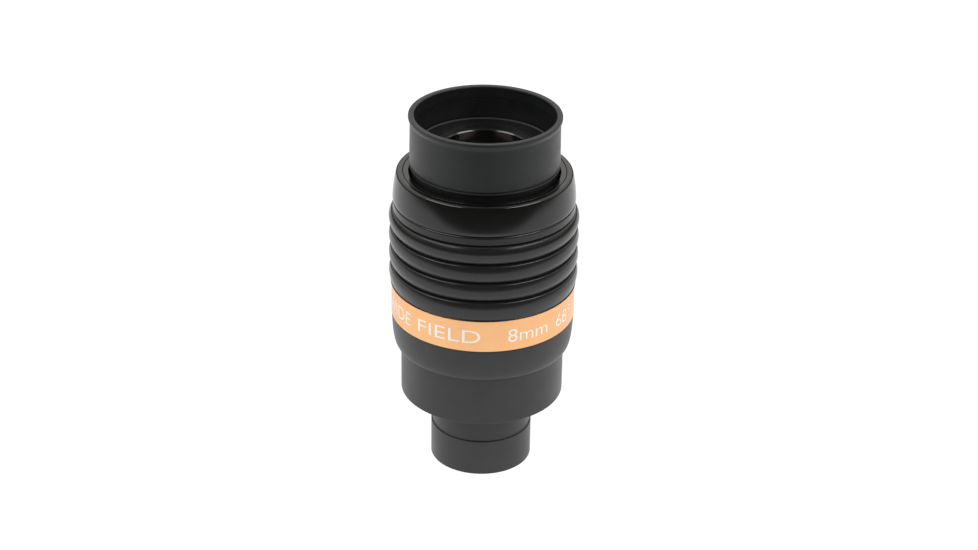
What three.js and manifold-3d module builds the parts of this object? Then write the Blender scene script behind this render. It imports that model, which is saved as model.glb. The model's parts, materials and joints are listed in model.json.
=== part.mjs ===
// Telescope eyepiece with a stepped 1.25-inch and 2-inch barrel and a twist-up eyecup.
// Millimetres, +Z up along the optical axis, towards the eye. The origin is the centre of the nose's end.
import * as THREE from "three";
import { mergeVertices } from "three/addons/utils/BufferGeometryUtils.js";
import Module from "manifold-3d";

const wasm = await Module();
wasm.setup();

// ---- Driving dimensions ----
const INCH = 25.4;
const TURN_STEPS = 36; // facets round a large turned part
const LENS_STEPS = 20; // facets round a lens or a small ring
const PLAY = 0.1; // gap between neighbours that are screwed or pressed together
const CUT_GAP = 0.3; // gap round a screw in a drilled hole

const NOSE_R = (1.25 * INCH) / 2;
const NOSE_UNDERCUT_R = 15.45;
const NOSE_COLLAR_Z = 11.7; // top of the full-diameter end of the nose
const NOSE_SPIGOT_R = 14.6;
const FILTER_THREAD_R = 14.25; // M28.5 filter thread
const FILTER_THREAD_DEPTH = 5.2;
const NOSE_BORE_R = 13.4;
const NOSE_LEDGE_Z = 19.5;
const NOSE_LEDGE_R = 12.6;
const NOSE_TOP_Z = 31;

const BARREL_R = (2 * INCH) / 2;
const BARREL_BOTTOM_Z = 24.1;
const NOSE_SEAT_Z = 24.6; // the nose's shoulder seats in a counterbore of the 2-inch barrel
const BARREL_TOP_Z = 40.1;
const BARREL_SPIGOT_R = 24.7;
const BARREL_SPIGOT_TOP_Z = 46;

const SHOULDER_R = 28.27; // lower housing, just under the name ring
const SHOULDER_TOP_Z = 51.1;
const SHOULDER_SWELL = 0.55; // below 1 the corner is tighter than an ellipse
const NECK_R = 26.4;
const NECK_BORE_R = 25.4;
const NECK_LEDGE_Z = 53;
const NECK_TOP_Z = 64;

const NAME_RING_R = 28.4;
const NAME_RING_BOTTOM_Z = 51.2;
const NAME_RING_TOP_Z = 61.4;

const GRIP_BORE_R = 26.6;
const GRIP_BOTTOM_Z = 61.5;
const GRIP_TOP_Z = 89.2;
const RIB_COUNT = 4;
const RIB_PITCH = 6.1;
const TOP_GROOVE_Z = 86.3;
const RIB_R = 29.1;
const VALLEY_R = 28.54;
const GROOVE_R = 27.9;
const GRIP_BAND_R = 27.95; // plain band above the top groove, tucked under the collar's edge

const HOUSING_WALL_R = 26.45; // upper housing, under the rubber
const HOUSING_COLLAR_Z = 89.35; // where the upper housing comes out of the rubber
const HOUSING_TOP_Z = 98.45;
const HOUSING_SIDE_ARC_R = 50; // large radius of the convex collar
const HOUSING_SIDE_ARC_CENTRE_Z = 88.1;
const HOUSING_COLLAR_R = 28.03;
const HOUSING_SPIGOT_R = 25.2;
const HOUSING_SPIGOT_BOTTOM_Z = 54;
const WELL_R = 23.05; // the annular well that the eyecup sinks into
const WELL_RING_R = 24.75; // ring screwed into the well's mouth, which keeps the eyecup in
const WELL_RING_BOTTOM_Z = 95.2;
const WELL_FLOOR_Z = 69;
const WELL_FLOOR_THICKNESS = 5;
const FLOOR_BORE_R = 19.4;

const GUIDE_R = 21; // inner barrel, which the eyecup slides on
const GUIDE_SPIGOT_R = 19.2;
const GUIDE_TOP_Z = 105.2;
const GUIDE_BOTTOM_Z = 58;
const LENS_BORE_R = 15.6;
const LENS_LEDGE_Z = 71;
const FACE_RING_R = 20.95;
const FACE_RING_TOP_Z = 106.7;
const FACE_SPIGOT_R = 17;
const FACE_SPIGOT_BOTTOM_Z = 101;
const LENS_RETAINER_R = 15.7;
const EYE_APERTURE_R = 13.3;
const LENS_R = 15.4;
const NOSE_LENS_R = 13.2;

const CUP_TOP_Z = 116.7; // raised
const CUP_TRAVEL = 10;
const CUP_TWIST = THREE.MathUtils.degToRad(120);
const SLEEVE_R = 22.2;
const SLEEVE_BORE_R = 21.35;
const SLEEVE_BOTTOM_Z = 81;
const SLEEVE_TOP_Z = 113;
const SLEEVE_FLANGE_R = 22.8;
const SLEEVE_FLANGE_TOP_Z = 101;
const RING_GROOVE_Z = [82.4, 83.6];
const RING_GROOVE_R = 21.75;
const SKIN_BOTTOM_R = 22.85;
const SKIN_TOP_R = 22.69;
const LIP_R = 23.2;

const SCREW_COUNT = 3;
const CAM_SCREW_Z = 85.5;
const CAM_SCREW_R = 1.5;
const CAM_DOG_R = 1;
const CAM_DOG_TIP = 21.5; // distance of the dog point's tip from the optical axis
const LOCK_SCREW_Z = 57.5;
const LOCK_SCREW_R = 1.2;

// ---- Finishes ----
const finish = (color, roughness, metalness) => new THREE.MeshStandardMaterial({ color, roughness, metalness });
const SATIN_BLACK = finish(0x17181a, 0.42, 0.6);
const GLOSS_BLACK = finish(0x0c0c0d, 0.18, 0.5);
const MATTE_BLACK = finish(0x0a0a0a, 0.85, 0.1);
const RUBBER = finish(0x232526, 0.75, 0);
const COPPER = finish(0xd98a55, 0.32, 0.9);
const GLASS = finish(0x9fb8b0, 0.05, 0);
const STEEL = finish(0x4a4a4c, 0.35, 0.9);
const NITRILE = finish(0x151515, 0.7, 0);

// ---- Geometry helpers ----
// A turned part from its half section. The section runs anticlockwise with the radius to the right
// and the height upwards, and closes on itself unless it starts on the axis.
function turned(section, steps = TURN_STEPS) {
  const points = section.map(([radius, height]) => new THREE.Vector2(radius, height));
  if (section[0][0] > 0) points.push(points[0].clone());
  return new THREE.LatheGeometry(points, steps).rotateX(Math.PI / 2);
}

function tubeSection(innerR, outerR, bottom, top) {
  return [[outerR, bottom], [outerR, top], [innerR, top], [innerR, bottom]];
}

function oRing(radius, height, sectionR, sides = 6) {
  const section = [];
  for (let i = 0; i < sides; i++) {
    const angle = (2 * Math.PI * i) / sides;
    section.push([radius + sectionR * Math.cos(angle), height + sectionR * Math.sin(angle)]);
  }
  return turned(section);
}

// Height change of a spherical surface between its centre and a given distance from the axis.
const sag = (surfaceR, radius) => Math.sign(surfaceR) * (Math.abs(surfaceR) - Math.sqrt(surfaceR ** 2 - radius ** 2));

// A lens from the heights and radii of its two surfaces at the axis. A surface radius is positive
// where the surface bulges outwards, negative where it is hollow, and Infinity where it is flat.
function lens(rimR, bottom, bottomSurfaceR, top, topSurfaceR) {
  const radii = [0, rimR * 0.4, rimR * 0.75, rimR];
  const drop = (surfaceR, radius) => (Number.isFinite(surfaceR) ? sag(surfaceR, radius) : 0);
  const under = radii.map((radius) => [radius, bottom + drop(bottomSurfaceR, radius)]);
  const over = radii.map((radius) => [radius, top - drop(topSurfaceR, radius)]).reverse();
  return turned([...under, ...over], LENS_STEPS);
}

function solidOf(geometry) {
  const bare = geometry.clone();
  bare.deleteAttribute("normal");
  bare.deleteAttribute("uv");
  const merged = mergeVertices(bare, 1e-4);
  const vertProperties = new Float32Array(merged.attributes.position.array);
  const triVerts = new Uint32Array(merged.index.array);
  return new wasm.Manifold(new wasm.Mesh({ numProp: 3, vertProperties, triVerts }));
}

function geometryOf(solid) {
  const mesh = solid.getMesh();
  const geometry = new THREE.BufferGeometry();
  geometry.setAttribute("position", new THREE.BufferAttribute(mesh.vertProperties, 3));
  geometry.setIndex(new THREE.BufferAttribute(mesh.triVerts, 1));
  geometry.computeVertexNormals();
  return geometry;
}

function cut(geometry, cutters) {
  let solid = solidOf(geometry);
  for (const cutter of cutters) solid = solid.subtract(solidOf(cutter));
  return geometryOf(solid);
}

// Lays a geometry that points along +Z on a radius of the eyepiece, at a given turn and height.
function laidRadially(geometry, angle, height) {
  return geometry.rotateY(Math.PI / 2).rotateZ(angle).translate(0, 0, height);
}

const screwAngle = (index, first) => THREE.MathUtils.degToRad(first + (360 / SCREW_COUNT) * index);
const camScrewAngle = (index) => screwAngle(index, 90);
const lockScrewAngle = (index) => screwAngle(index, 30);

// A hole along a radius, for a screw of the given radius.
function radialHole(screwR, innerR, outerR, angle, height) {
  const length = outerR - innerR;
  const drill = new THREE.CylinderGeometry(screwR + CUT_GAP, screwR + CUT_GAP, length, 12);
  drill.rotateX(Math.PI / 2).translate(0, 0, innerR + length / 2);
  return laidRadially(drill, angle, height);
}

// ---- Nose and barrels ----
function noseBarrel() {
  const edge = 0.2;
  return turned([
    [NOSE_R - edge, 0],
    [NOSE_R, edge],
    [NOSE_R, NOSE_COLLAR_Z],
    [NOSE_UNDERCUT_R, NOSE_COLLAR_Z + 0.25],
    [NOSE_UNDERCUT_R, NOSE_SEAT_Z - PLAY],
    [NOSE_SPIGOT_R, NOSE_SEAT_Z - PLAY],
    [NOSE_SPIGOT_R, NOSE_TOP_Z],
    [NOSE_LEDGE_R, NOSE_TOP_Z],
    [NOSE_LEDGE_R, NOSE_LEDGE_Z],
    [NOSE_BORE_R, NOSE_LEDGE_Z],
    [NOSE_BORE_R, FILTER_THREAD_DEPTH],
    [FILTER_THREAD_R, FILTER_THREAD_DEPTH],
    [FILTER_THREAD_R, 0.35],
    [FILTER_THREAD_R + 0.35, 0],
  ]);
}

// Stepped 2-inch barrel: a flat stop face with a threaded boss that takes the nose.
function barrel2In() {
  const edge = 0.25;
  const floorTop = BARREL_BOTTOM_Z + 3.7;
  const wallR = 23.4;
  const bossR = 16.8;
  const bossBore = NOSE_SPIGOT_R + 0.15;
  const counterbore = NOSE_UNDERCUT_R + 0.2;
  return turned([
    [BARREL_R - edge, BARREL_BOTTOM_Z],
    [BARREL_R, BARREL_BOTTOM_Z + edge],
    [BARREL_R, BARREL_TOP_Z],
    [BARREL_SPIGOT_R, BARREL_TOP_Z],
    [BARREL_SPIGOT_R, BARREL_SPIGOT_TOP_Z],
    [wallR, BARREL_SPIGOT_TOP_Z],
    [wallR, floorTop],
    [bossR, floorTop],
    [bossR, NOSE_TOP_Z],
    [bossBore, NOSE_TOP_Z],
    [bossBore, NOSE_SEAT_Z],
    [counterbore, NOSE_SEAT_Z],
    [counterbore, BARREL_BOTTOM_Z],
  ]);
}

// ---- Housings ----
// The lower housing's outside swells from the 2-inch barrel in a tight corner and a long easy curve.
function shoulderCurve() {
  const height = SHOULDER_TOP_Z - BARREL_TOP_Z;
  const swell = SHOULDER_R - BARREL_R;
  const points = [];
  const steps = 7;
  const firstAngle = 0.19;
  for (let i = 0; i <= steps; i++) {
    const angle = firstAngle + (Math.PI / 2 - firstAngle) * (i / steps);
    const radius = BARREL_R + swell * Math.sin(angle) ** SHOULDER_SWELL;
    points.push([radius, SHOULDER_TOP_Z - height * Math.cos(angle)]);
  }
  return points;
}

function lowerHousing() {
  const bottom = BARREL_TOP_Z + PLAY;
  const spigotBore = BARREL_SPIGOT_R + 0.15;
  const ledgeR = 23.8;
  const ledgeBottom = BARREL_SPIGOT_TOP_Z + 1.2;
  const body = turned([
    ...shoulderCurve(),
    [NECK_R, SHOULDER_TOP_Z],
    [NECK_R, NECK_TOP_Z],
    [NECK_BORE_R, NECK_TOP_Z],
    [NECK_BORE_R, NECK_LEDGE_Z],
    [ledgeR, NECK_LEDGE_Z],
    [ledgeR, ledgeBottom],
    [spigotBore, ledgeBottom],
    [spigotBore, bottom],
  ]);
  const holes = [];
  for (let i = 0; i < SCREW_COUNT; i++) {
    holes.push(radialHole(LOCK_SCREW_R, 24, 28, lockScrewAngle(i), LOCK_SCREW_Z));
  }
  return cut(body, holes);
}

function housingCollar() {
  const centreR = HOUSING_COLLAR_R - HOUSING_SIDE_ARC_R;
  const sideRadius = (height) =>
    centreR + Math.sqrt(HOUSING_SIDE_ARC_R ** 2 - (height - HOUSING_SIDE_ARC_CENTRE_Z) ** 2);
  const points = [[HOUSING_COLLAR_R - 0.35, HOUSING_COLLAR_Z]];
  for (const height of [89.65, 92.2, 94.8, 97.2]) points.push([sideRadius(height), height]);
  const edgeR = 0.9;
  const cornerR = sideRadius(97.2) - edgeR;
  for (const turn of [30, 60, 90]) {
    const angle = THREE.MathUtils.degToRad(turn);
    points.push([cornerR + edgeR * Math.cos(angle), HOUSING_TOP_Z - 1.2 + 1.2 * Math.sin(angle)]);
  }
  return points;
}

// Upper housing: the visible collar, the well for the eyecup, and the spigot of the neck joint.
function upperHousing() {
  const spigotBore = 23.9;
  const ringGap = 0.15;
  const floorBottom = WELL_FLOOR_Z - WELL_FLOOR_THICKNESS;
  const body = turned([
    [HOUSING_SPIGOT_R, HOUSING_SPIGOT_BOTTOM_Z],
    [HOUSING_SPIGOT_R, NECK_TOP_Z + PLAY],
    [HOUSING_WALL_R, NECK_TOP_Z + PLAY],
    [HOUSING_WALL_R, HOUSING_COLLAR_Z],
    ...housingCollar(),
    [WELL_RING_R + ringGap, HOUSING_TOP_Z],
    [WELL_RING_R + ringGap, WELL_RING_BOTTOM_Z - PLAY],
    [WELL_R, WELL_RING_BOTTOM_Z - PLAY],
    [WELL_R, WELL_FLOOR_Z],
    [FLOOR_BORE_R, WELL_FLOOR_Z],
    [FLOOR_BORE_R, floorBottom],
    [spigotBore, floorBottom],
    [spigotBore, HOUSING_SPIGOT_BOTTOM_Z],
  ]);
  const holes = [];
  for (let i = 0; i < SCREW_COUNT; i++) {
    holes.push(radialHole(LOCK_SCREW_R, 22.5, 28, lockScrewAngle(i), LOCK_SCREW_Z));
    holes.push(radialHole(CAM_SCREW_R, 22, 28, camScrewAngle(i), CAM_SCREW_Z));
  }
  return cut(body, holes);
}

// The ring at the well's mouth, flush with the collar's top.
function wellRing() {
  const edge = 0.15;
  const top = HOUSING_TOP_Z - 0.05;
  return turned([
    [WELL_RING_R, WELL_RING_BOTTOM_Z],
    [WELL_RING_R, top - edge],
    [WELL_RING_R - edge, top],
    [WELL_R + edge, top],
    [WELL_R, top - edge],
    [WELL_R, WELL_RING_BOTTOM_Z],
  ]);
}

const housingORing = () => oRing(24.6, NECK_LEDGE_Z + 0.45, 0.4);

// ---- Name ring and rubber grip ----
function nameRing() {
  const edge = 0.15;
  const boreR = NECK_R + 0.15;
  return turned([
    [NAME_RING_R - edge, NAME_RING_BOTTOM_Z],
    [NAME_RING_R, NAME_RING_BOTTOM_Z + edge],
    [NAME_RING_R, NAME_RING_TOP_Z - edge],
    [NAME_RING_R - edge, NAME_RING_TOP_Z],
    [boreR, NAME_RING_TOP_Z],
    [boreR, NAME_RING_BOTTOM_Z],
  ]);
}

// The grip's ribs lean upwards: each swells to its crest just below a narrow groove.
function gripSleeve() {
  const outside = [[SHOULDER_R, GRIP_BOTTOM_Z]];
  for (let i = RIB_COUNT - 1; i >= 0; i--) {
    const groove = TOP_GROOVE_Z - RIB_PITCH * i;
    outside.push([VALLEY_R, groove - 5], [RIB_R, groove - 1.9], [RIB_R - 0.15, groove - 0.4]);
    outside.push([GROOVE_R, groove - 0.05], [i > 0 ? VALLEY_R - 0.1 : GRIP_BAND_R, groove + 0.3]);
  }
  outside.push([GRIP_BAND_R - 0.1, GRIP_TOP_Z - 0.5], [GRIP_BAND_R - 0.5, GRIP_TOP_Z]);
  return turned([...outside, [GRIP_BORE_R, GRIP_TOP_Z], [GRIP_BORE_R, GRIP_BOTTOM_Z]]);
}

// ---- Inner barrel and the ring that holds the eye lens ----
function guideTube() {
  const lensTop = 100.9;
  const faceThreadR = 17.15;
  const ledgeR = 14.2;
  const stopThreadR = 17.1;
  const ledgeBottom = LENS_LEDGE_Z - 1.5;
  return turned([
    [GUIDE_SPIGOT_R, GUIDE_BOTTOM_Z],
    [GUIDE_SPIGOT_R, WELL_FLOOR_Z + PLAY],
    [GUIDE_R, WELL_FLOOR_Z + PLAY],
    [GUIDE_R, GUIDE_TOP_Z],
    [faceThreadR, GUIDE_TOP_Z],
    [faceThreadR, lensTop],
    [LENS_BORE_R, lensTop],
    [LENS_BORE_R, LENS_LEDGE_Z],
    [ledgeR, LENS_LEDGE_Z],
    [ledgeR, ledgeBottom],
    [stopThreadR, ledgeBottom],
    [stopThreadR, GUIDE_BOTTOM_Z],
  ]);
}

// Flat black ring on the inner barrel's end, level with the lip of the lowered eyecup.
function faceRing() {
  const flangeBottom = GUIDE_TOP_Z + PLAY;
  const boreR = LENS_RETAINER_R + 0.15;
  return turned([
    [FACE_SPIGOT_R, FACE_SPIGOT_BOTTOM_Z],
    [FACE_SPIGOT_R, flangeBottom],
    [FACE_RING_R, flangeBottom],
    [FACE_RING_R, FACE_RING_TOP_Z - 0.2],
    [FACE_RING_R - 0.2, FACE_RING_TOP_Z],
    [FACE_RING_R - 0.8, FACE_RING_TOP_Z],
    [boreR, FACE_RING_TOP_Z - 0.35],
    [boreR, FACE_SPIGOT_BOTTOM_Z],
  ]);
}

// Dished ring screwed into the face ring, which holds the eye lens down on its seal.
function lensRetainer() {
  return turned([
    [LENS_RETAINER_R, FACE_SPIGOT_BOTTOM_Z],
    [LENS_RETAINER_R, FACE_RING_TOP_Z - 0.45],
    [EYE_APERTURE_R + 0.3, FACE_RING_TOP_Z - 0.95],
    [EYE_APERTURE_R, FACE_RING_TOP_Z - 1.2],
    [EYE_APERTURE_R, FACE_SPIGOT_BOTTOM_Z],
  ]);
}

const eyeLensSeal = () => oRing(14.9, 100.5, 0.36);

// ---- Lenses, from the eye down: a doublet, a singlet and a doublet in the inner barrel ----
const eyeLensCrown = () => lens(LENS_R, 94.5, 60, 102.9, 40);
const eyeLensFlint = () => lens(LENS_R, 92, 120, 94.4, -60);
const eyeSpacer = () => turned(tubeSection(13.9, LENS_R, 86, 92.6), LENS_STEPS);
const middleLens = () => lens(LENS_R, 79.5, 35, 88.6, 35);
const stackSpacer = () => turned(tubeSection(13.9, LENS_R, 77.5, 82.1), LENS_STEPS);
const innerLensCrown = () => lens(LENS_R, 72.6, 45, 79.2, 50);
const innerLensFlint = () => lens(LENS_R, 71.2, Infinity, 72.5, -45);

const fieldStopTube = () => turned(tubeSection(15.9, 16.85, 34, 69.3), TURN_STEPS);

function fieldStop() {
  const apertureR = 9;
  return turned([[15.7, 48], [15.7, 49.6], [14, 49.6], [apertureR, 48.3], [apertureR, 48]], LENS_STEPS);
}

// ---- Diverging group in the nose: a doublet and a field-flattening singlet ----
const negativeLensFlint = () => lens(NOSE_LENS_R, 14.5, 50, 17.05, -40);
const negativeLensCrown = () => lens(NOSE_LENS_R, 12.47, -60, 14.4, -50);
const negativeSpacer = () => turned(tubeSection(11.9, NOSE_LENS_R, 9.5, 10.8), LENS_STEPS);
const flattenerLens = () => lens(NOSE_LENS_R, 6.9, 80, 9.3, Infinity);

// Threaded ring that holds the nose's lenses, with two slots for a pin spanner.
function noseRetainer() {
  const bottom = 5.5;
  const ring = turned(tubeSection(11.3, NOSE_LENS_R, bottom, 7.5), LENS_STEPS);
  const slot = new THREE.BoxGeometry(4 * NOSE_LENS_R, 1.5, 2).translate(0, 0, bottom);
  return cut(ring, [slot]);
}

// ---- Screws ----
// A grub screw with a driver socket, along +Z from its tip to its outer end.
function grubScrew(tip, shoulder, end, tipR, bodyR) {
  const socketR = bodyR * 0.45;
  const socketDepth = 1;
  const section = [
    [0, tip],
    [tipR, tip],
    [tipR, shoulder],
    [bodyR, shoulder],
    [bodyR, end],
    [socketR, end],
    [socketR, end - socketDepth],
    [0, end - socketDepth],
  ];
  return new THREE.LatheGeometry(section.map(([r, h]) => new THREE.Vector2(r, h)), 10).rotateX(Math.PI / 2);
}

function camScrew(index) {
  const screw = grubScrew(CAM_DOG_TIP, WELL_R + CUT_GAP, HOUSING_WALL_R - 0.25, CAM_DOG_R, CAM_SCREW_R);
  return laidRadially(screw, camScrewAngle(index), CAM_SCREW_Z);
}

function lockScrew(index) {
  const screw = grubScrew(24.1, 24.6, NECK_R - 0.2, LOCK_SCREW_R * 0.8, LOCK_SCREW_R);
  return laidRadially(screw, lockScrewAngle(index), LOCK_SCREW_Z);
}

// ---- Eyecup ----
// A helical cam slot in the sleeve, as a chain of short blocks between two round ends. The dog point
// of a cam screw lies at its low end when the cup is up, and at its high end when the cup is down.
function camSlot(index) {
  const halfWidth = CAM_DOG_R + CUT_GAP;
  const steps = 12;
  const stepAngle = CUP_TWIST / steps;
  const stepRise = CUP_TRAVEL / steps;
  const stepLength = SLEEVE_R * stepAngle;
  const pitchAngle = Math.atan2(stepRise, stepLength);
  const blocks = [];
  for (let i = 0; i < steps; i++) {
    const block = new THREE.BoxGeometry(3, Math.hypot(stepLength, stepRise) * 1.12, 2 * halfWidth);
    block.rotateX(pitchAngle).translate(SLEEVE_R - 0.4, 0, 0);
    block.rotateZ(camScrewAngle(index) + stepAngle * (i + 0.5));
    blocks.push(block.translate(0, 0, CAM_SCREW_Z + stepRise * (i + 0.5)));
  }
  for (const end of [0, 1]) {
    const angle = camScrewAngle(index) + CUP_TWIST * end;
    blocks.push(radialHole(CAM_DOG_R, 20, 24, angle, CAM_SCREW_Z + CUP_TRAVEL * end));
  }
  return blocks;
}

function eyecupSleeve() {
  const sleeve = turned([
    [SLEEVE_R, SLEEVE_BOTTOM_Z],
    [SLEEVE_R, RING_GROOVE_Z[0]],
    [RING_GROOVE_R, RING_GROOVE_Z[0]],
    [RING_GROOVE_R, RING_GROOVE_Z[1]],
    [SLEEVE_R, RING_GROOVE_Z[1]],
    [SLEEVE_R, SLEEVE_FLANGE_TOP_Z - 0.7],
    [SLEEVE_FLANGE_R, SLEEVE_FLANGE_TOP_Z - 0.4],
    [SLEEVE_FLANGE_R, SLEEVE_FLANGE_TOP_Z],
    [SLEEVE_R, SLEEVE_FLANGE_TOP_Z],
    [SLEEVE_R, SLEEVE_TOP_Z],
    [SLEEVE_BORE_R, SLEEVE_TOP_Z],
    [SLEEVE_BORE_R, SLEEVE_BOTTOM_Z],
  ]);
  const slots = [];
  for (let i = 0; i < SCREW_COUNT; i++) slots.push(...camSlot(i));
  return cut(sleeve, slots);
}

// Rubber skin of the eyecup, with a flared and rounded lip over the sleeve's top.
function eyecupRubber() {
  const skinBore = SLEEVE_R + PLAY;
  const lipMiddleR = (LIP_R + SLEEVE_BORE_R) / 2;
  return turned([
    [SKIN_BOTTOM_R, SLEEVE_FLANGE_TOP_Z + PLAY],
    [SKIN_TOP_R, SLEEVE_TOP_Z - 0.2],
    [SKIN_TOP_R + 0.15, CUP_TOP_Z - 2.4],
    [LIP_R, CUP_TOP_Z - 1.1],
    [LIP_R, CUP_TOP_Z - 0.6],
    [LIP_R - 0.35, CUP_TOP_Z - 0.12],
    [lipMiddleR, CUP_TOP_Z],
    [SLEEVE_BORE_R + 0.3, CUP_TOP_Z - 0.12],
    [SLEEVE_BORE_R, CUP_TOP_Z - 0.5],
    [SLEEVE_BORE_R, SLEEVE_TOP_Z + PLAY],
    [skinBore, SLEEVE_TOP_Z + PLAY],
    [skinBore, SLEEVE_FLANGE_TOP_Z + PLAY],
  ]);
}

// Ring in the sleeve's groove that rubs on the well's wall and gives the twist its even drag.
function frictionRing() {
  const [bottom, top] = RING_GROOVE_Z;
  return turned(tubeSection(RING_GROOVE_R + 0.15, WELL_R - 0.2, bottom + 0.2, top - 0.2));
}

// ---- Assembly ----
function part(name, geometry, material) {
  const mesh = new THREE.Mesh(geometry, material);
  mesh.name = name;
  return mesh;
}

const barrels = new THREE.Group();
barrels.add(
  part("nose_barrel", noseBarrel(), SATIN_BLACK),
  part("nose_retainer", noseRetainer(), MATTE_BLACK),
  part("flattener_lens", flattenerLens(), GLASS),
  part("negative_spacer", negativeSpacer(), MATTE_BLACK),
  part("negative_lens_crown", negativeLensCrown(), GLASS),
  part("negative_lens_flint", negativeLensFlint(), GLASS),
  part("barrel_2in", barrel2In(), SATIN_BLACK),
);

const housing = new THREE.Group();
housing.add(
  part("lower_housing", lowerHousing(), SATIN_BLACK),
  part("upper_housing", upperHousing(), GLOSS_BLACK),
  part("well_ring", wellRing(), GLOSS_BLACK),
  part("housing_o_ring", housingORing(), NITRILE),
  part("name_ring", nameRing(), COPPER),
  part("grip_sleeve", gripSleeve(), RUBBER),
);

const optics = new THREE.Group();
optics.add(
  part("guide_tube", guideTube(), MATTE_BLACK),
  part("face_ring", faceRing(), MATTE_BLACK),
  part("eye_lens_retainer", lensRetainer(), MATTE_BLACK),
  part("eye_lens_seal", eyeLensSeal(), NITRILE),
  part("eye_lens_crown", eyeLensCrown(), GLASS),
  part("eye_lens_flint", eyeLensFlint(), GLASS),
  part("eye_spacer", eyeSpacer(), MATTE_BLACK),
  part("middle_lens", middleLens(), GLASS),
  part("stack_spacer", stackSpacer(), MATTE_BLACK),
  part("inner_lens_crown", innerLensCrown(), GLASS),
  part("inner_lens_flint", innerLensFlint(), GLASS),
  part("field_stop_tube", fieldStopTube(), MATTE_BLACK),
  part("field_stop", fieldStop(), MATTE_BLACK),
);

const screws = new THREE.Group();
for (let i = 0; i < SCREW_COUNT; i++) {
  screws.add(part(`cam_screw_${i + 1}`, camScrew(i), STEEL));
  screws.add(part(`lock_screw_${i + 1}`, lockScrew(i), STEEL));
}

const eyecup = new THREE.Group();
eyecup.add(
  part("eyecup_sleeve", eyecupSleeve(), SATIN_BLACK),
  part("eyecup_rubber", eyecupRubber(), RUBBER),
  part("friction_ring", frictionRing(), NITRILE),
);

const eyepiece = new THREE.Group();
eyepiece.add(barrels, housing, optics, screws, eyecup);

export default eyepiece;
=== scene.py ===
"""Looks of the telescope eyepiece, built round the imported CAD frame.

Sections are half outlines in millimetres, as (distance from the optical axis, height), listed
anticlockwise, and lathe() turns them round Z. Heights and outer radii come from the CAD boxes.
"""
import json
import math

import bmesh
import bpy
import numpy as np
from mathutils import Matrix, Vector


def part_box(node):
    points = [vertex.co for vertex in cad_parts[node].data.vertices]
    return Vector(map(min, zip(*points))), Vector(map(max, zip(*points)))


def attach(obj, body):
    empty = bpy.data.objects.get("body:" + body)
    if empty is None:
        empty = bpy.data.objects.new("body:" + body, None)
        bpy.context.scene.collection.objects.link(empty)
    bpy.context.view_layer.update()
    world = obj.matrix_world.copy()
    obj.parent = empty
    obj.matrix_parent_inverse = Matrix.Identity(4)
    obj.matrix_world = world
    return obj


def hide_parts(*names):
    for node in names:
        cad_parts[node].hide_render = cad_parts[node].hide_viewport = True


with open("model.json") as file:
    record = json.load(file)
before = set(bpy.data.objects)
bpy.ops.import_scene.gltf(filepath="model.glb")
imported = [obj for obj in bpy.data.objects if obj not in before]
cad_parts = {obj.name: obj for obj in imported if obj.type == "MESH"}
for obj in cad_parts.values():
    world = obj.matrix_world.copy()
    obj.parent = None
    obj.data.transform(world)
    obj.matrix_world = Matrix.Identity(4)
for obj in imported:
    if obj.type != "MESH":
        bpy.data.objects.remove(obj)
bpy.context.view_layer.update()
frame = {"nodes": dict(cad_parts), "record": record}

MM = 0.001
SEGMENTS = 192
SMALL_SEGMENTS = 128  # for small or hidden turned parts

WELL_R = 23.05  # the well that the eyecup sinks into
CUP_BORE_R = 21.35  # the eyecup slides on the inner barrel


# ---------------------------------------------------------------- mesh helpers
def span(node):
    """Largest radius, lowest height and highest height of a CAD node, in millimetres."""
    low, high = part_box(node)
    return high.x / MM, low.z / MM, high.z / MM


def rounded(corners, steps=5):
    """A closed section whose corners are (radius, height) or (radius, height, rounding)."""
    support = 0.04  # extra point beside each rounding, so that flat faces shade flat
    share = 0.45  # the most of an edge that one rounding may take
    points = []
    for i, corner in enumerate(corners):
        here = Vector(corner[:2])
        if len(corner) < 3:
            points.append(here)
            continue
        before = Vector(corners[i - 1][:2]) - here
        after = Vector(corners[(i + 1) % len(corners)][:2]) - here
        reach = corner[2] / math.tan(before.angle(after) / 2)
        reach = min(reach, share * before.length, share * after.length)
        start = here + before.normalized() * reach
        end = here + after.normalized() * reach
        points.append(start + before.normalized() * support)
        for k in range(steps + 1):
            t = k / steps
            points.append((1 - t) ** 2 * start + 2 * t * (1 - t) * here + t * t * end)
        points.append(end + after.normalized() * support)
    return [(p.x, p.y) for p in points]


def smooth_mesh(mesh, sharp_degrees=35):
    mesh.polygons.foreach_set("use_smooth", [True] * len(mesh.polygons))
    mesh.set_sharp_from_angle(angle=math.radians(sharp_degrees))
    mesh.update()


def lathe(name, section, segments=SEGMENTS, warp=None):
    """A closed body turned round Z. warp(r, z, angle) may move the points, as for a thread."""
    outline = np.array(section, float)
    starts_on_axis = outline[0, 0] == 0
    rows = len(outline)
    angle = np.arange(segments) * 2 * math.pi / segments
    r = np.repeat(outline[:, :1], segments, axis=1)
    z = np.repeat(outline[:, 1:], segments, axis=1)
    if warp:
        r = warp(r, z, angle[None, :])
    points = np.stack([r * np.cos(angle), r * np.sin(angle), z], axis=-1).reshape(-1, 3) * MM
    faces = []
    for j in range(rows - 1 if starts_on_axis else rows):
        k = (j + 1) % rows
        for i in range(segments):
            n = (i + 1) % segments
            faces.append((j * segments + i, j * segments + n, k * segments + n, k * segments + i))
    mesh = bpy.data.meshes.new(name)
    mesh.from_pydata(points.tolist(), [], faces)
    if starts_on_axis:
        close_axis(mesh)
    smooth_mesh(mesh)
    piece = bpy.data.objects.new(name, mesh)
    bpy.context.scene.collection.objects.link(piece)
    return piece


def close_axis(mesh):
    """Merges the points that lie on the axis into one at each end."""
    work = bmesh.new()
    work.from_mesh(mesh)
    axis_points = [v for v in work.verts if math.hypot(v.co.x, v.co.y) < 1e-9]
    bmesh.ops.remove_doubles(work, verts=axis_points, dist=1e-7)
    work.to_mesh(mesh)
    work.free()


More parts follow.
